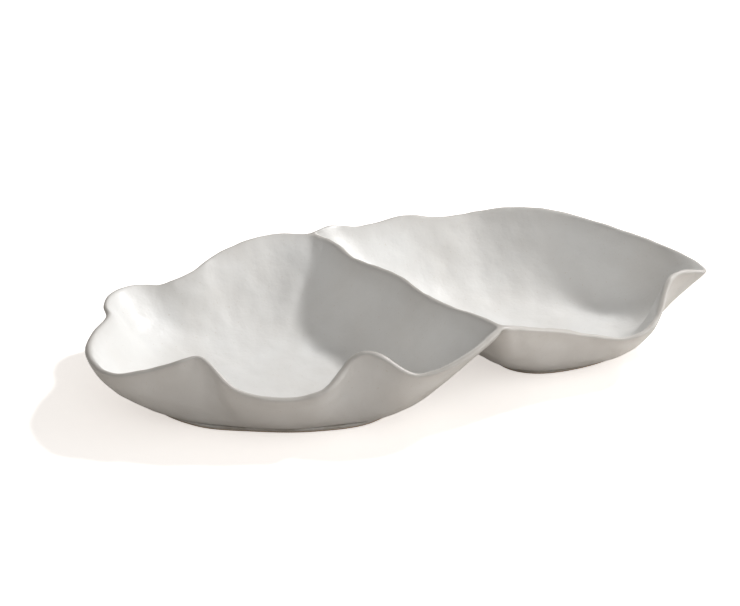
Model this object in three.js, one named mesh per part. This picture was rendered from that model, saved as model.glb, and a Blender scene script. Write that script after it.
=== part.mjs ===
// A chip and dip server: two wavy-rimmed ceramic bowls luted together along one shared ridge.
// Each bowl is a thin shell on its own foot ring, and a coil pressed into the valley under the ridge
// ties the two shells together. Nothing moves.
//
// Millimetres, +Z up. +X runs along the server from the chip bowl to the dip bowl, +Y to the back.
// The origin is on the table, under the middle of the server's own box.
import * as THREE from "three";

// ---- Driving dimensions ----
const WALL = 4.8; // thickness of the shells at the lip
const LIP = WALL / 2; // radius of the rounded lip
const FOOT_HEIGHT = 3.4; // the shells' undersides stand this far off the table
const FOOT_WIDTH = 7; // width of a foot ring
const FLOOR = 5.2; // thickness of a bowl's floor
const FLOOR_INSET = 12; // the inside floor starts to rise this far inside the foot's outline
const JOINT_GAP = 0.3; // the slip layer between pieces that are luted together
const LAND = 6.5; // height of the face that the two shells share under the ridge's crest
const LEAN = 0.75; // how far a wall leans out at the rim, as a share of its mean lean
// Places where a wall leans out by another share: the dip bowl's spout, the full wall beside it, and the
// chip bowl's far end.
const LEANS = [
  { at: [221, -76], reach: 26, share: 1.5 },
  { at: [165, -96], reach: 30, share: 0.35 },
  { at: [-222, 0], reach: 70, share: 0.45 },
];
const COIL_STEPS = 1; // wall steps that the coil reaches down the valley
const COIL_INSET = 4; // columns of the ridge that the coil stops short of each end

// ---- Profiles ----
// The ridge's rounded crest, in lip radii: how far from the seam and how far down, from a bowl up to the seam.
const RIDGE_CREST = [
  { aside: 1, down: 0.9 },
  { aside: 0.6, down: 0.2 },
];
const UNDERCUT = 0.35; // lip radii that an outer wall steps back from the seam, just under the shared face
// The same where the ridge runs out into the free rims, with how far each point lies beyond the ridge's end.
const END_CREST = [
  { aside: 1, beyond: -1, down: 1 },
  { aside: 0.6, beyond: -0.5, down: 0.2 },
  { aside: 0, beyond: 0, down: 0 },
  { aside: 0, beyond: 0.75, down: 0.35 },
  { aside: 0, beyond: 1, down: 1.3 },
];
const LIP_TURNS = [180, 135, 90, 45, 0]; // degrees round a free lip, from the inside over the crest
// How long a wall holds its direction at its foot, as shares of its run and rise, and at its lip, as a
// share of its rise.
const INSIDE_CURVE = { run: 0.55, rise: 0, lip: 0.5 };
const OUTSIDE_CURVE = { run: 0.44, rise: 0.1, lip: 0.45 };

// ---- Sampling ----
const RIM_STEPS = 3; // columns between two control points of a free rim
const RIDGE_STEPS = 3; // columns between two control points of the ridge
const WALL_STEPS = 7; // rows up a wall
const FLOOR_RINGS = [0.4, 0.75]; // inner rings of a floor, as shares of its radius
const CALMING = 6; // columns on each side that the foot of a wall averages the rim's waves over
const FOOT_STEPS = 6; // points of a foot ring between two control points of its outline
const OUTLINE_STEPS = 24; // the same where an outline is looked up by its angle

// ---- Outlines: [x, y] or [x, y, height of the crest], each counter-clockwise seen from above ----
// The crest of the shared ridge, from its front end to its back end.
const RIDGE = [
  [30, -105, 71],
  [23, -77, 70],
  [14, -54, 69],
  [9, -29, 68],
  [7, 5, 68],
  [0, 31, 66],
  [-7, 56, 65],
  [-9, 86, 66],
  [-18, 104, 67],
];
// The chip bowl's free rim, from the ridge's back end round the left to its front end.
const CHIP_RIM = [
  [-18, 104, 67],
  [-43, 115, 67],
  [-71, 116, 65],
  [-94, 114, 60],
  [-110, 108, 55],
  [-125, 107, 51],
  [-139, 110, 47],
  [-148, 114, 47],
  [-159, 116, 48],
  [-176, 111, 47],
  [-188, 95, 47],
  [-192, 73, 48],
  [-209, 53, 48],
  [-222, 27, 49],
  [-224, 1, 49],
  [-217, -19, 51],
  [-196, -32, 57],
  [-179, -42, 64],
  [-168, -45, 67],
  [-162, -53, 63],
  [-156, -63, 53],
  [-144, -72, 45],
  [-128, -81, 42],
  [-110, -88, 42],
  [-96, -92, 46],
  [-82, -88, 55],
  [-73, -86, 63],
  [-65, -90, 67],
  [-56, -98, 65],
  [-47, -108, 58],
  [-36, -113, 54],
  [-17, -116, 57],
  [8, -113, 64],
  [30, -105, 71],
];
// The dip bowl's free rim, from the ridge's front end round the right to its back end.
const DIP_RIM = [
  [30, -105, 71],
  [55, -104, 64],
  [83, -99, 54],
  [111, -100, 44],
  [131, -103, 39],
  [149, -103, 40],
  [166, -96, 47],
  [175, -88, 57],
  [183, -82, 65],
  [195, -77, 67],
  [209, -76, 65],
  [220, -77, 63],
  [224, -62, 62],
  [222, -34, 62],
  [206, 0, 65],
  [179, 41, 70],
  [154, 64, 72],
  [134, 78, 70],
  [112, 89, 65],
  [86, 94, 64],
  [59, 103, 68],
  [38, 104, 65],
  [20, 105, 65],
  [1, 109, 68],
  [-18, 104, 67],
];
// The outer edges of the two feet.
const CHIP_FOOT = [
  [-32, -10],
  [-46, 30],
  [-80, 56],
  [-120, 58],
  [-157, 44],
  [-180, 12],
  [-164, -25],
  [-133, -48],
  [-95, -67],
  [-54, -74],
  [-24, -57],
];
const DIP_FOOT = [
  [66, -24],
  [72, -49],
  [88, -63],
  [123, -69],
  [155, -63],
  [176, -42],
  [176, -14],
  [154, 10],
  [118, 28],
  [84, 36],
  [62, 26],
  [59, 2],
];
const CHIP_CENTRE = [-100, -4];
const DIP_CENTRE = [114, -16];

// ---- Materials ----
const glaze = new THREE.MeshStandardMaterial({ color: 0xe6e4e0, roughness: 0.35, metalness: 0 });
const bisque = new THREE.MeshStandardMaterial({ color: 0xd8cdbd, roughness: 0.85, metalness: 0 });

// ---- Helpers ----
const UP = new THREE.Vector3(0, 0, 1);
const vector = ([x, y, z = 0]) => new THREE.Vector3(x, y, z);
const along = (from, ...moves) =>
  moves.reduce((p, [direction, distance]) => p.addScaledVector(direction, distance), from.clone());
const flat = (v) => new THREE.Vector3(v.x, v.y, 0);

// Points of a smooth curve through a control outline, the same number between every two of them.
function smooth(outline, closed, steps) {
  const curve = new THREE.CatmullRomCurve3(outline.map(vector), closed, "centripetal");
  const spans = closed ? outline.length : outline.length - 1;
  const points = curve.getPoints(spans * steps);
  return closed ? points.slice(0, -1) : points;
}

// Where the ray from centre towards a point crosses a closed outline.
function crossing(outline, centre, towards) {
  const ray = flat(towards).sub(centre).normalize();
  for (let i = 0; i < outline.length; i += 1) {
    const a = outline[i].clone().sub(centre);
    const edge = outline[(i + 1) % outline.length].clone().sub(centre).sub(a);
    const det = ray.x * edge.y - ray.y * edge.x;
    const share = (a.x * ray.y - a.y * ray.x) / det;
    const reach = (a.x * edge.y - a.y * edge.x) / det;
    if (share >= 0 && share < 1 && reach > 0) return along(centre, [ray, reach]);
  }
  throw new Error("the outline doesn't surround its centre");
}

// A closed mesh from columns of points that share their first point and share their last one.
function shell(columns) {
  const rows = columns[0].length - 2;
  const positions = [columns[0][0], columns[0][rows + 1], ...columns.flatMap((c) => c.slice(1, -1))];
  const at = (i, j) => 2 + (i % columns.length) * rows + j;
  const index = [];
  for (let i = 0; i < columns.length; i += 1) {
    index.push(0, at(i, 0), at(i + 1, 0));
    for (let j = 0; j < rows - 1; j += 1) {
      index.push(at(i, j), at(i, j + 1), at(i + 1, j + 1));
      index.push(at(i, j), at(i + 1, j + 1), at(i + 1, j));
    }
    index.push(1, at(i + 1, rows - 1), at(i, rows - 1));
  }
  return new THREE.BufferGeometry().setFromPoints(positions).setIndex(index);
}

// A closed mesh from sections that are swept along a line, or round a loop.
function sweep(sections, closed) {
  const sides = sections[0].length;
  const at = (i, j) => (i % sections.length) * sides + (j % sides);
  const index = [];
  for (let i = 0; i < sections.length - (closed ? 0 : 1); i += 1) {
    for (let j = 0; j < sides; j += 1) {
      index.push(at(i, j), at(i, j + 1), at(i + 1, j + 1));
      index.push(at(i, j), at(i + 1, j + 1), at(i + 1, j));
    }
  }
  for (let j = 1; !closed && j < sides - 1; j += 1) {
    index.push(at(0, 0), at(0, j + 1), at(0, j));
    index.push(at(sections.length - 1, 0), at(sections.length - 1, j), at(sections.length - 1, j + 1));
  }
  return new THREE.BufferGeometry().setFromPoints(sections.flat()).setIndex(index);
}

// ---- The shells ----
// The loop of crest points round a bowl: the ridge first, then the free rim. Each entry knows its crest
// point, the rim's direction, and whether it is on the ridge or at one of the ridge's two ends.
function crestLoop(ridge, rim) {
  const points = [...ridge.slice(0, -1), ...rim.slice(0, -1)];
  const last = ridge.length - 1;
  return points.map((crest, i) => {
    const after = points[(i + 1) % points.length].clone().sub(crest).normalize();
    const before = crest.clone().sub(points[(i + points.length - 1) % points.length]).normalize();
    const stretches = { 0: { ridgeRun: after, beyond: -1 }, [last]: { ridgeRun: before, beyond: 1 } };
    return { crest, run: before.clone().add(after).normalize(), onRidge: i > 0 && i < last, end: stretches[i] };
  });
}

// The lip's five points, from the inside of the wall over the crest to the outside.
function lipPoints({ crest, run, onRidge, end }, wallUp) {
  const gap = JOINT_GAP / 2;
  if (onRidge) {
    // Half of the crest, then the upright face that meets the other bowl.
    const over = flat(run).cross(UP).normalize();
    return [
      ...RIDGE_CREST.map(({ aside, down }) => along(crest, [over, -LIP * aside], [UP, -LIP * down])),
      along(crest, [over, -gap]),
      along(crest, [over, -gap], [UP, -LAND]),
      along(crest, [over, -gap - LIP * UNDERCUT], [UP, -LAND - LIP]),
    ];
  }
  if (end) {
    // Where the free rim meets the ridge: the outside half lies on the face that both bowls share.
    const onward = flat(end.ridgeRun).normalize();
    const over = onward.clone().cross(UP);
    return END_CREST.map(({ aside, beyond, down }) =>
      along(
        crest,
        [over, -(aside > 0 ? LIP * aside : gap)],
        [onward, LIP * beyond * end.beyond],
        [UP, -LIP * down],
      ),
    );
  }
  const out = run.clone().cross(wallUp).normalize();
  const middle = along(crest, [wallUp, -LIP]);
  return LIP_TURNS.map((degrees) => {
    const turn = THREE.MathUtils.degToRad(degrees);
    return along(middle, [out, LIP * Math.cos(turn)], [wallUp, LIP * Math.sin(turn)]);
  });
}

// How far the wall under a crest point leans out at the rim, as a share of its mean lean.
function leanShare(crest) {
  return LEANS.reduce((share, place) => {
    const away = flat(crest).distanceTo(vector(place.at)) / place.reach;
    return share + Math.exp(-(away ** 2)) * (place.share - LEAN);
  }, LEAN);
}

// The points up one side of a wall, from its foot to its lip.
function wallCurve(foot, lip, away, wallUp, run, rise, shape) {
  return new THREE.CubicBezierCurve3(
    foot,
    along(foot, [away, shape.run * run], [UP, shape.rise * rise]),
    along(lip, [wallUp, -shape.lip * rise]),
    lip,
  ).getPoints(WALL_STEPS);
}

// One column of a shell, from the floor's centre up the inside, over the lip and down the outside.
// The foot of a wall follows the calm rim, which is the rim with its waves averaged out.
function column(station, centre, foot, calmCrest) {
  const away = foot.clone().sub(centre).normalize();
  const calmRun = calmCrest.distanceTo(foot);
  const run = flat(station.crest).sub(foot).dot(away);
  const rise = station.crest.z - FOOT_HEIGHT;
  const lean = Math.atan2(leanShare(station.crest) * run, rise);
  const wallUp = along(new THREE.Vector3(), [away, Math.sin(lean)], [UP, Math.cos(lean)]);
  const lip = lipPoints(station, wallUp);

  const inFoot = along(foot, [away, -FLOOR_INSET], [UP, FOOT_HEIGHT + FLOOR]);
  const outFoot = along(foot, [UP, FOOT_HEIGHT]);
  const inside = wallCurve(inFoot, lip[0], away, wallUp, calmRun + FLOOR_INSET, rise, INSIDE_CURVE);
  const outside = wallCurve(outFoot, lip.at(-1), away, wallUp, calmRun, rise, OUTSIDE_CURVE);
  const ring = (edge, share) => centre.clone().lerp(flat(edge), share).setZ(edge.z);
  return [
    ring(inFoot, 0),
    ...FLOOR_RINGS.map((share) => ring(inFoot, share)),
    ...inside.slice(0, -1),
    ...lip,
    ...outside.slice(0, -1).reverse(),
    ...FLOOR_RINGS.map((share) => ring(outFoot, share)).reverse(),
    ring(outFoot, 0),
  ];
}

// All the columns of one bowl.
function bowlColumns(ridge, rim, footOutline, centrePoint) {
  const centre = vector(centrePoint);
  const outline = smooth(footOutline, true, OUTLINE_STEPS);
  const loop = crestLoop(ridge, rim);
  return loop.map((station, i) => {
    const calm = new THREE.Vector3();
    for (let k = -CALMING; k <= CALMING; k += 1) {
      calm.addScaledVector(flat(loop.at((i + k) % loop.length).crest), 1 / (2 * CALMING + 1));
    }
    return column(station, centre, crossing(outline, centre, calm), calm);
  });
}

// ---- The feet and the coil ----
function footRing(outline) {
  const edge = smooth(outline, true, FOOT_STEPS);
  const sections = edge.map((point, i) => {
    const before = edge[(i + edge.length - 1) % edge.length];
    const after = edge[(i + 1) % edge.length];
    const inward = UP.clone().cross(after.clone().sub(before)).normalize();
    const top = FOOT_HEIGHT - JOINT_GAP;
    return [
      point.clone(),
      along(point, [inward, FOOT_WIDTH]),
      along(point, [inward, FOOT_WIDTH], [UP, top]),
      along(point, [UP, top]),
    ];
  });
  return sweep(sections, true);
}

// The coil fills the valley between the two outer walls, a slip layer away from each of them.
function jointCoil(chip, dip, ridgeCount) {
  const lipOut = FLOOR_RINGS.length + WALL_STEPS + LIP_TURNS.length; // row of the lip's outside point
  const sections = [];
  for (let i = COIL_INSET; i < ridgeCount - COIL_INSET; i += 1) {
    const left = chip[i];
    const right = dip[ridgeCount - 1 - i];
    const over = flat(right[lipOut + COIL_STEPS].clone().sub(left[lipOut + COIL_STEPS])).normalize();
    const rows = Array.from({ length: COIL_STEPS + 1 }, (_, k) => lipOut + k);
    const leftSide = rows.map((row) => along(left[row], [over, JOINT_GAP]));
    const rightSide = rows.map((row) => along(right[row], [over, -JOINT_GAP]));
    sections.push([...rightSide, ...leftSide.reverse()]);
  }
  return sweep(sections, false);
}

// ---- Assembly ----
const ridge = smooth(RIDGE, false, RIDGE_STEPS);
const chipColumns = bowlColumns(ridge, smooth(CHIP_RIM, false, RIM_STEPS), CHIP_FOOT, CHIP_CENTRE);
const dipColumns = bowlColumns([...ridge].reverse(), smooth(DIP_RIM, false, RIM_STEPS), DIP_FOOT, DIP_CENTRE);

const server = new THREE.Group();
const pieces = [
  ["chip_bowl", shell(chipColumns), glaze],
  ["dip_bowl", shell(dipColumns), glaze],
  ["chip_bowl_foot", footRing(CHIP_FOOT), bisque],
  ["dip_bowl_foot", footRing(DIP_FOOT), bisque],
  ["joint_coil", jointCoil(chipColumns, dipColumns, ridge.length), bisque],
];
for (const [name, geometry, material] of pieces) {
  const mesh = new THREE.Mesh(geometry, material);
  mesh.name = name;
  server.add(mesh);
}
const middle = new THREE.Box3().setFromObject(server).getCenter(new THREE.Vector3());
server.position.set(-middle.x, -middle.y, 0);

export default server;
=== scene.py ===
import math

import bmesh
import bpy
import numpy as np
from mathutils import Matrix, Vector, noise


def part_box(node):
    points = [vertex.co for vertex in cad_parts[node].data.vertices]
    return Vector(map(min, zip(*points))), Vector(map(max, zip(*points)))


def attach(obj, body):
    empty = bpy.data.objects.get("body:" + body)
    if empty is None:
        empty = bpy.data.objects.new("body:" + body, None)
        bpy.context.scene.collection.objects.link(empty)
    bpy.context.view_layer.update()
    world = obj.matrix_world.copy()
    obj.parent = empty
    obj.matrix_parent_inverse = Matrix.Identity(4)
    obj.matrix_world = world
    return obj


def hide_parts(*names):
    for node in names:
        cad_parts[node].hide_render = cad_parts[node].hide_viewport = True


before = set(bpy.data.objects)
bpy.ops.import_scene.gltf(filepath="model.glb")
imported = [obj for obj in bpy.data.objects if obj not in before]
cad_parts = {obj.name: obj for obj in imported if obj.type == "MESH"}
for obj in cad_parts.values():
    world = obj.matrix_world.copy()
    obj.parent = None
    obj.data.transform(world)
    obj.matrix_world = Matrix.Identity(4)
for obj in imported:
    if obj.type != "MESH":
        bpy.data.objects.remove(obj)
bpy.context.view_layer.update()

MM = 0.001

# ---- How finely the clay is worked ----
WELD = 0.002 * MM  # vertices closer than this are one point of a CAD shell
SEAM_REACH = 0.5 * MM  # the two shells' crests are this close where they share the ridge
SUBDIVISIONS = 2
# Hand-formed unevenness: (size of a dent, its depth), from broad pinches to finger marks.
DENTS = [(70 * MM, 0.9 * MM), (26 * MM, 0.8 * MM), (11 * MM, 0.5 * MM)]
# An outer wall is even below the first height and fully uneven above the second.
UNDERSIDE_CALM = (4 * MM, 16 * MM)

# ---- Rows of a shell's grid ----
LIP_THIN_AND_SHADE_ROWS = 2.5  # the glaze runs thin, and painted shade lies, over this many rows on each side of the crest
FOOT_ROW = -3  # where the outer wall stands on the foot
COIL_ROWS = (12, 14)  # the valley under the ridge, from its top to where the coil meets the walls

# ---- The feet and the coil ----
# A foot's section, from its outer edge round under it to its inner side: (outwards, up).
FOOT_PROFILE = [
    (2.4 * MM, 4.1 * MM),
    (1.0 * MM, 3.2 * MM),
    (0.2 * MM, 2.1 * MM),
    (0.0 * MM, 1.1 * MM),
    (-0.4 * MM, 0.35 * MM),
    (-1.3 * MM, 0.0 * MM),
    (-5.6 * MM, 0.0 * MM),
    (-6.6 * MM, 0.35 * MM),
    (-7.0 * MM, 1.2 * MM),
    (-7.4 * MM, 2.6 * MM),
    (-8.6 * MM, 3.9 * MM),
]
COIL_END = 0.05  # size of the coil's drawn-out ends
COIL_TAPER = 32 * MM  # length that each end is drawn out over
COIL_THUMBED = 0.4  # how far the coil's middle is pressed up between its edges, as a share of its height
COIL_BITE = 1.8 * MM  # the coil's edges are worked into the walls by this much

# ---- Glaze ----
THICK_GLAZE = (0.835, 0.83, 0.815)  # colours are linear
THIN_GLAZE = (0.79, 0.775, 0.75)
# Darker lip colour: partly thin glaze, partly painted shade that dulls the highlight along the crest.
LIP_THIN_GLAZE_AND_SHADE = (0.52, 0.49, 0.455)
SPECK = (0.62, 0.55, 0.46)
LIP_THIN_AND_SHADE_ATTRIBUTE = "thin"  # the attribute of a shell that says how thin its glaze runs and how much painted shade its lip takes
PATCHES = (0.35, 0.65)  # the values of a noise between which one colour passes to the other
CLOUD_SIZE = 55 * MM  # patches of thin and thick glaze
SPECK_SIZE = 1.6 * MM
SPECK_PEAKS = (0.7, 0.78)  # only the peaks of the noise are specks
SPECK_STRENGTH = 0.35
GLAZE_ROUGHNESS = (0.36, 0.48)
ROUGHNESS_SIZE = 18 * MM
ROUGHNESS_SPREAD = (0.3, 0.7)
# Relief: the size of its lumps, its depth and its strength.
BRUSHED_WAVES = (7 * MM, 0.7 * MM, 0.5)
ORANGE_PEEL = (1.8 * MM, 0.05 * MM, 0.4)
COAT_WEIGHT = 0.08
COAT_ROUGHNESS = 0.22

# ---- Wiped feet ----
FOOT_GLAZE = (0.56, 0.525, 0.48)
PALE_CLAY = (0.56, 0.44, 0.32)
DARK_CLAY = (0.4, 0.29, 0.2)
WIPED_EDGE = (0.5 * MM, 1.3 * MM)  # bare clay below the first height, glaze above the second
WIPE_WANDER = 1.4 * MM  # how much that edge rises and falls
WANDER_SIZE = 12 * MM
SAND = (1.1 * MM, 0.12 * MM, 0.6)  # relief, as for the glaze
CLAY_ROUGHNESS = 0.85
FOOT_GLAZE_ROUGHNESS = 0.42

# ---- The view ----
AIM = Vector((29.5, 98.0, 0.0)) * MM
AZIMUTH = -26.0  # degrees
ELEVATION = 26.0
DISTANCE = 1380.1 * MM
LENS = 85.0  # in millimetres, as the sensor's width is
SENSOR = 36.0

# ---- The stage and the light ----
STAGE_SIZE = 12.0
TABLE_DROP = 0.1 * MM  # how far the unseen table lies below the floor
FLOOR_COLOUR = (0.95, 0.95, 0.95)
FLOOR_GLOW = (1.0, 0.94, 0.89)
FLOOR_GLOW_STRENGTH = 0.6
TABLE_COLOUR = (0.62, 0.575, 0.53)
SKY_COLOUR = (1.0, 0.985, 0.96)
SKY_STRENGTH = 0.28
LIGHTS_AIM = Vector((0.0, 0.0, 0.04))
# Round lamps: name, azimuth and elevation in degrees, distance, diameter, power in watts.
LAMPS = [
    ("key", 90, 50, 3.0, 0.34, 64),
    ("side_fill", 56, 16, 2.5, 1.6, 17),
    ("front_fill", -12, 36, 2.5, 1.8, 7),
]


def add(name, data):
    obj = bpy.data.objects.new(name, data)
    bpy.context.scene.collection.objects.link(obj)
    return obj


# ---- The CAD shells as grids of points ----
def shell_grid(node):
    """A shell's points as an array [column, row, xyz], and its two poles. The middle row is the crest.

    A shell runs in rings from the pole in the middle of its floor, up the inside, over the lip, down the
    outside and in to the pole under the floor. A ring's points follow from the ring before it.
    """
    bm = bmesh.new()
    bm.from_mesh(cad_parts[node].data)
    bmesh.ops.remove_doubles(bm, verts=bm.verts, dist=WELD)
    poles = sorted(bm.verts, key=lambda v: len(v.link_edges))[-2:]
    inner = max(poles, key=lambda v: v.co.z)
    follows = {}
    for face in inner.link_faces:
        corners = list(face.verts)
        start = corners.index(inner)
        follows[corners[(start + 1) % 3]] = corners[(start + 2) % 3]
    ring = [next(iter(follows))]
    while follows[ring[-1]] is not ring[0]:
        ring.append(follows[ring[-1]])
    rings = []
    seen = {inner}
    while len(set(ring)) > 1:
        rings.append([v.co.copy() for v in ring])
        seen.update(ring)
        onward = [{e.other_vert(v) for e in v.link_edges} - seen for v in ring]
        ring = [next(iter(onward[i] & onward[i - 1])) for i in range(len(ring))]
    grid = np.array(rings).transpose(1, 0, 2)
    ends = np.array([inner.co, ring[0].co])
    bm.free()
    return grid, ends


def crest_row(grid):
    return grid.shape[1] // 2


def seam_columns(chip, dip):
    """Pairs of columns, one of each shell's grid, whose crests meet on the shared ridge."""
    crest = crest_row(chip)
    apart = np.linalg.norm(chip[:, None, crest] - dip[None, :, crest], axis=2)
    return [tuple(pair) for pair in np.argwhere(apart < SEAM_REACH)]


# ---- The shells, smoothed as one body of clay and parted again at the seam ----
def lip_glaze_and_shade_per_point(grid, crest):
    """How thin the glaze runs, and how much painted shade it takes, on each point of a shell and its poles:
    1 on the crest, 0 on the walls.
    """
    from_crest = np.abs(np.arange(grid.shape[1]) - crest)
    column = np.clip(1 - from_crest / LIP_THIN_AND_SHADE_ROWS, 0, 1)
    return [*np.tile(column, len(grid)), 0.0, 0.0]


def shell_faces(number, poles, crest, on_seam):
    """The faces between a shell's numbered points, without those luted to the other shell."""
    inner, outer = poles
    columns, rows = number.shape
    faces = []
    for i in range(columns):
        k = (i + 1) % columns
        luted = i in on_seam and k in on_seam
        faces.append((inner, number[i, 0], number[k, 0]))
        faces.append((outer, number[k, -1], number[i, -1]))
        for row in range(rows - 1):
            if not (luted and row == crest):
                faces.append((number[i, row], number[i, row + 1], number[k, row + 1], number[k, row]))
    return faces


def joined_cage(chip, dip, pairs):
    """One closed cage of both shells, with the luted faces taken out. Material 0 is the chip bowl's."""
    crest = crest_row(chip[0])
    points = []
    # how thin the lip's glaze runs and how much painted shade it takes, for each point
    thin = []
    numbers = []
    poles = []
    for grid, ends in (chip, dip):
        numbers.append(np.arange(len(grid) * grid.shape[1]).reshape(grid.shape[:2]) + len(points))
        points.extend(map(tuple, grid.reshape(-1, 3)))
        poles.append((len(points), len(points) + 1))
        points.extend(map(tuple, ends))
        thin.extend(lip_glaze_and_shade_per_point(grid, crest))
    for i, j in pairs:
        for row in (crest, crest + 1):
            kept = numbers[0][i, row]
            dropped = numbers[1][j, row]
            points[kept] = tuple((np.array(points[kept]) + np.array(points[dropped])) / 2)
            numbers[1][j, row] = kept
    faces = []
    owners = []
    for owner, on_seam in enumerate(({i for i, _ in pairs}, {j for _, j in pairs})):
        faces.extend(shell_faces(numbers[owner], poles[owner], crest, on_seam))
        owners.extend([owner] * (len(faces) - len(owners)))
    mesh = bpy.data.meshes.new("clay_cage")
    mesh.from_pydata(points, [], faces)
    mesh.polygons.foreach_set("material_index", owners)
    mesh.attributes.new(LIP_THIN_AND_SHADE_ATTRIBUTE, "FLOAT", "POINT").data.foreach_set("value", thin)
    return mesh


def subdivided(mesh, levels):
    """A smooth subdivision of a cage, as a new mesh."""
    holder = add(mesh.name, mesh)
    surface = holder.modifiers.new("smooth", "SUBSURF")
    surface.levels = levels
    surface.render_levels = levels
    graph = bpy.context.evaluated_depsgraph_get()
    fine = bpy.data.meshes.new_from_object(holder.evaluated_get(graph))
    bpy.data.objects.remove(holder)
    return fine


def read_vectors(items, name):
    values = np.zeros(len(items) * 3, np.float32)
    items.foreach_get(name, values)
    return values.reshape(-1, 3).astype(float)


def smoothstep(values, low, high):
    t = np.clip((values - low) / (high - low), 0.0, 1.0)
    return t * t * (3 - 2 * t)


def dented(mesh):
    """Moves a mesh's points along their normals by the dents that fingers leave."""
    points = read_vectors(mesh.vertices, "co")
    normals = read_vectors(mesh.vertices, "normal")
    depth = np.zeros(len(points))
    for size, amount in DENTS:
        depth += [amount * noise.noise(Vector(p / size)) for p in points]
    even = np.where(normals[:, 2] < 0, smoothstep(points[:, 2], *UNDERSIDE_CALM), 1.0)
    points += normals * (depth * even)[:, None]
    mesh.vertices.foreach_set("co", points.astype(np.float32).ravel())
    mesh.update()


def parted(mesh, owner, name):
    """The faces of one bowl as a closed piece of its own, shaded as part of the whole."""
    normals = read_vectors(mesh.vertices, "normal")
    bm = bmesh.new()
    bm.from_mesh(mesh)
    origin = bm.verts.layers.int.new("origin")
    for v in bm.verts:
        v[origin] = v.index
    others = [f for f in bm.faces if f.material_index != owner]
    bmesh.ops.delete(bm, geom=others, context="FACES")
    seam = [e for e in bm.edges if e.is_boundary]
    filled = bmesh.ops.holes_fill(bm, edges=seam, sides=0)["faces"]
    bmesh.ops.triangulate(bm, faces=filled)
    for f in bm.faces:
        f.material_index = 0
        f.smooth = True
    order = [v[origin] for v in bm.verts]
    bm.verts.layers.int.remove(origin)
    piece = bpy.data.meshes.new(name)
    bm.to_mesh(piece)
    bm.free()
    piece.normals_split_custom_set_from_vertices(normals[order])
    return add(name, piece)


# ---- The feet and the coil ----
def lofted(name, sections, closed):
    """A smooth solid through equal sections, round a loop or with its two ends capped."""
    count, sides = sections.shape[:2]
    spans = count if closed else count - 1
    faces = []
    for i in range(spans):
        k = (i + 1) % count
        for j in range(sides):
            m = (j + 1) % sides
            faces.append((i * sides + j, i * sides + m, k * sides + m, k * sides + j))
    if not closed:
        faces.append(tuple(range(sides))[::-1])
        faces.append(tuple(range((count - 1) * sides, count * sides)))
    mesh = bpy.data.meshes.new(name)
    mesh.from_pydata(sections.reshape(-1, 3).tolist(), [], faces)
    bm = bmesh.new()
    bm.from_mesh(mesh)
    bmesh.ops.recalc_face_normals(bm, faces=bm.faces)
    bm.to_mesh(mesh)
    bm.free()
    fine = subdivided(mesh, SUBDIVISIONS)
    fine.shade_smooth()
    return add(name, fine)


def foot(name, shell):
    """A foot ring under a shell, flared into its wall."""
    outline = shell[0][:, FOOT_ROW, :2]
    onward = np.roll(outline, -1, axis=0) - np.roll(outline, 1, axis=0)
    outward = np.stack([onward[:, 1], -onward[:, 0]], axis=1)
    outward /= np.linalg.norm(outward, axis=1)[:, None]
    sections = np.zeros((len(outline), len(FOOT_PROFILE), 3))
    for j, (out, up) in enumerate(FOOT_PROFILE):
        sections[:, j, :2] = outline + outward * out
        sections[:, j, 2] = up
    return lofted(name, sections, True)


def drawn_out(sections):
    """Sections shrunk towards their first points near both ends of the row."""
    apexes = sections[:, :1]
    steps = np.linalg.norm(np.diff(apexes[:, 0], axis=0), axis=1)
    from_start = np.concatenate([[0.0], np.cumsum(steps)])
    from_end = np.minimum(from_start, from_start[-1] - from_start)
    size = COIL_END + (1 - COIL_END) * smoothstep(from_end, 0.0, COIL_TAPER)
    return apexes + (sections - apexes) * size[:, None, None]


def coil(name, chip, dip, pairs):
    """The clay coil in the valley under the ridge, pressed hollow with a thumb and drawn out at its ends."""
    top_row, foot_row = COIL_ROWS
    low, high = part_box("joint_coil")
    sections = []
    for i, j in sorted(pairs, key=lambda pair: chip[0][pair[0], top_row, 1]):
        apex = (chip[0][i, top_row] + dip[0][j, top_row]) / 2
        if not low[1] < apex[1] < high[1]:
            continue
        left = chip[0][i, foot_row]
        right = dip[0][j, foot_row]
        middle = (left + right) / 2
        across = (right - left) / np.linalg.norm(right - left)
        hollow = middle + (apex - middle) * COIL_THUMBED
        left_edge = left - across * COIL_BITE
        right_edge = right + across * COIL_BITE
        left_slope = (left_edge + hollow) / 2
        right_slope = (right_edge + hollow) / 2
        sections.append([apex, left_edge, left_slope, hollow, right_slope, right_edge])
    return lofted(name, drawn_out(np.array(sections)), False)


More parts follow.
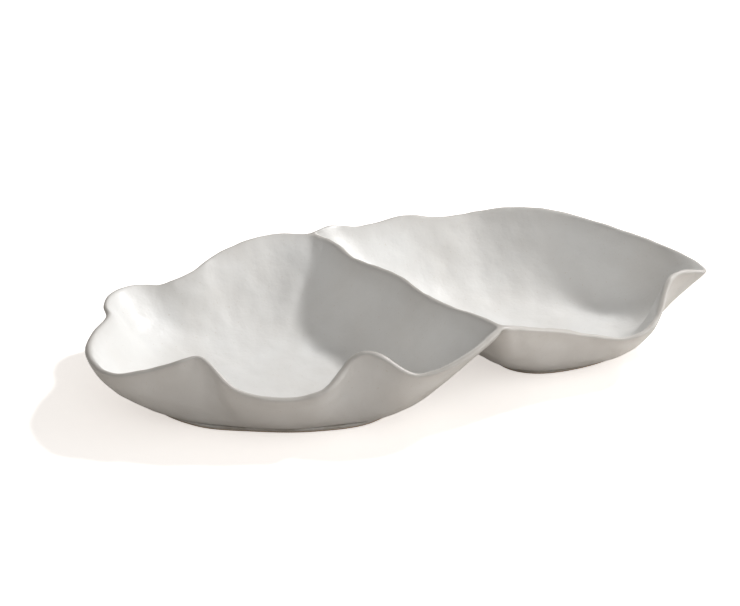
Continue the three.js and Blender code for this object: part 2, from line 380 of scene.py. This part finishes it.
# ---- Materials ----
class Paint:
    """A material under its Principled shader. What a node takes is a number, a colour or a node's output."""

    def __init__(self, name):
        self.material = bpy.data.materials.new(name)
        self.material.use_nodes = True
        self.nodes = self.material.node_tree.nodes
        self.surface = self.nodes["Principled BSDF"].inputs

    def give(self, socket, value):
        if isinstance(value, bpy.types.NodeSocket):
            self.material.node_tree.links.new(value, socket)
        elif isinstance(value, tuple):
            socket.default_value = (*value, 1.0)
        else:
            socket.default_value = value

    def place(self):
        """The place on the object, which is the same whatever the view."""
        return self.nodes.new("ShaderNodeTexCoord").outputs["Object"]

    def lumps(self, size, detail=2.0):
        """A noise whose lumps are about this size."""
        node = self.nodes.new("ShaderNodeTexNoise")
        self.give(node.inputs["Vector"], self.place())
        self.give(node.inputs["Scale"], 1 / size)
        self.give(node.inputs["Detail"], detail)
        return node.outputs[0]

    def stretched(self, value, taken, given=(0.0, 1.0)):
        """A value with the range taken stretched to the range given, and held at its ends."""
        node = self.nodes.new("ShaderNodeMapRange")
        for socket, number in zip(node.inputs, (value, *taken, *given)):
            self.give(socket, number)
        return node.outputs[0]

    def mixed(self, share, first, second):
        """The first colour, giving way to the second by this share."""
        node = self.nodes.new("ShaderNodeMix")
        node.data_type = "RGBA"
        self.give(node.inputs[0], share)
        self.give(node.inputs[6], first)
        self.give(node.inputs[7], second)
        return node.outputs[2]

    def relief(self, height, depth, strength, below=None):
        """A normal with this height's relief, added to the relief below it."""
        node = self.nodes.new("ShaderNodeBump")
        self.give(node.inputs["Height"], height)
        self.give(node.inputs["Distance"], depth)
        self.give(node.inputs["Strength"], strength)
        if below is not None:
            self.give(node.inputs["Normal"], below)
        return node.outputs[0]


def glaze_colour(paint):
    """Off-white, warmer where the glaze is thin, darker on the lip from thin glaze and painted shade over
    the crest's highlight, with sparse pale iron specks.
    """
    clouds = paint.stretched(paint.lumps(CLOUD_SIZE, detail=3.0), PATCHES)
    body = paint.mixed(clouds, THIN_GLAZE, THICK_GLAZE)
    # the lip's mask mixes in its thin glaze and painted shade
    lip = paint.nodes.new("ShaderNodeAttribute")
    lip.attribute_name = LIP_THIN_AND_SHADE_ATTRIBUTE
    lipped = paint.mixed(lip.outputs["Fac"], body, LIP_THIN_GLAZE_AND_SHADE)
    specks = paint.stretched(paint.lumps(SPECK_SIZE, detail=1.0), SPECK_PEAKS, (0.0, SPECK_STRENGTH))
    return paint.mixed(specks, lipped, SPECK)


def glaze_relief(paint):
    """The waviness that a brushed glaze settles in, under a fine orange peel."""
    size, depth, strength = BRUSHED_WAVES
    waves = paint.relief(paint.lumps(size), depth, strength)
    size, depth, strength = ORANGE_PEEL
    return paint.relief(paint.lumps(size), depth, strength, waves)


def glaze_material():
    paint = Paint("satin_glaze")
    rubbed = paint.lumps(ROUGHNESS_SIZE, detail=3.0)
    paint.give(paint.surface["Base Color"], glaze_colour(paint))
    paint.give(paint.surface["Roughness"], paint.stretched(rubbed, ROUGHNESS_SPREAD, GLAZE_ROUGHNESS))
    paint.give(paint.surface["Normal"], glaze_relief(paint))
    paint.give(paint.surface["Coat Weight"], COAT_WEIGHT)
    paint.give(paint.surface["Coat Roughness"], COAT_ROUGHNESS)
    return paint.material


def foot_material():
    """Thin glaze on the foot's side, wiped off where it stands."""
    paint = Paint("wiped_foot")
    wander = paint.lumps(WANDER_SIZE, detail=3.0)
    height = paint.nodes.new("ShaderNodeSeparateXYZ")
    paint.give(height.inputs[0], paint.place())
    line = paint.nodes.new("ShaderNodeMath")
    line.operation = "MULTIPLY_ADD"
    for socket, value in zip(line.inputs, (wander, -WIPE_WANDER, height.outputs["Z"])):
        paint.give(socket, value)
    glazed = paint.stretched(line.outputs[0], WIPED_EDGE)

    size, depth, strength = SAND
    sand = paint.lumps(size, detail=4.0)
    clay = paint.mixed(paint.stretched(sand, PATCHES), DARK_CLAY, PALE_CLAY)
    glaze = paint.mixed(paint.stretched(wander, PATCHES), FOOT_GLAZE, THIN_GLAZE)
    roughness = paint.stretched(glazed, (0.0, 1.0), (CLAY_ROUGHNESS, FOOT_GLAZE_ROUGHNESS))
    paint.give(paint.surface["Base Color"], paint.mixed(glazed, clay, glaze))
    paint.give(paint.surface["Roughness"], roughness)
    paint.give(paint.surface["Normal"], paint.relief(sand, depth, strength))
    return paint.material


# ---- The stage ----
def level_plane(name, height, paint):
    half = STAGE_SIZE / 2
    corners = [(-half, -half, height), (half, -half, height), (half, half, height), (-half, half, height)]
    mesh = bpy.data.meshes.new(name)
    mesh.from_pydata(corners, [], [(0, 1, 2, 3)])
    mesh.materials.append(paint.material)
    return add(name, mesh)


def matte(name, colour):
    paint = Paint(name)
    paint.give(paint.surface["Base Color"], colour)
    paint.give(paint.surface["Roughness"], 1.0)
    return paint


def stage():
    """A white floor that only the camera sees, over a pale table that lights the server from below."""
    white = matte("white_floor", FLOOR_COLOUR)
    white.give(white.surface["Specular IOR Level"], 0.0)
    white.give(white.surface["Emission Color"], FLOOR_GLOW)
    white.give(white.surface["Emission Strength"], FLOOR_GLOW_STRENGTH)
    floor = level_plane("floor", 0.0, white)
    floor.visible_diffuse = False
    floor.visible_glossy = False
    floor.visible_shadow = False

    table = level_plane("table_bounce", -TABLE_DROP, matte("table_bounce", TABLE_COLOUR))
    table.visible_camera = False


def aim(obj, target, azimuth, elevation, distance):
    """Puts a camera or a lamp at that azimuth, 0 being the front and +90 the right, facing the target."""
    turn = math.radians(azimuth)
    lift = math.radians(elevation)
    level = math.cos(lift)
    towards = Vector((math.sin(turn) * level, -math.cos(turn) * level, math.sin(lift)))
    obj.location = target + towards * distance
    obj.rotation_euler = towards.to_track_quat("Z", "Y").to_euler()


def camera():
    data = bpy.data.cameras.new("camera")
    data.lens = LENS
    data.sensor_width = SENSOR
    obj = add("camera", data)
    aim(obj, AIM, AZIMUTH, ELEVATION, DISTANCE)
    bpy.context.scene.camera = obj


def studio():
    for name, azimuth, elevation, distance, diameter, power in LAMPS:
        data = bpy.data.lights.new(name, "AREA")
        data.shape = "DISK"
        data.size = diameter
        data.energy = power
        aim(add(name, data), LIGHTS_AIM, azimuth, elevation, distance)
    world = bpy.data.worlds.new("studio")
    world.use_nodes = True
    background = world.node_tree.nodes["Background"]
    background.inputs["Color"].default_value = (*SKY_COLOUR, 1.0)
    background.inputs["Strength"].default_value = SKY_STRENGTH
    bpy.context.scene.world = world
    bpy.context.scene.view_settings.view_transform = "Standard"


# ---- The server ----
camera()
studio()
stage()

chip = shell_grid("chip_bowl")
dip = shell_grid("dip_bowl")
seam = seam_columns(chip[0], dip[0])
clay = subdivided(joined_cage(chip, dip, seam), SUBDIVISIONS)
dented(clay)
glaze = glaze_material()
wiped = foot_material()
pieces = [
    (parted(clay, 0, "chip_bowl_glazed"), "chip_bowl", glaze, "glaze"),
    (parted(clay, 1, "dip_bowl_glazed"), "dip_bowl", glaze, "glaze"),
    (foot("chip_foot_wiped", chip), "chip_bowl_foot", wiped, "bare_clay"),
    (foot("dip_foot_wiped", dip), "dip_bowl_foot", wiped, "bare_clay"),
    (coil("coil_smoothed", chip, dip, seam), "joint_coil", glaze, "glazed_coil"),
]
for piece, node, material, slot in pieces:
    piece.data.materials.clear()
    piece.data.materials.append(material)
    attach(piece, "root")
    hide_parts(node)
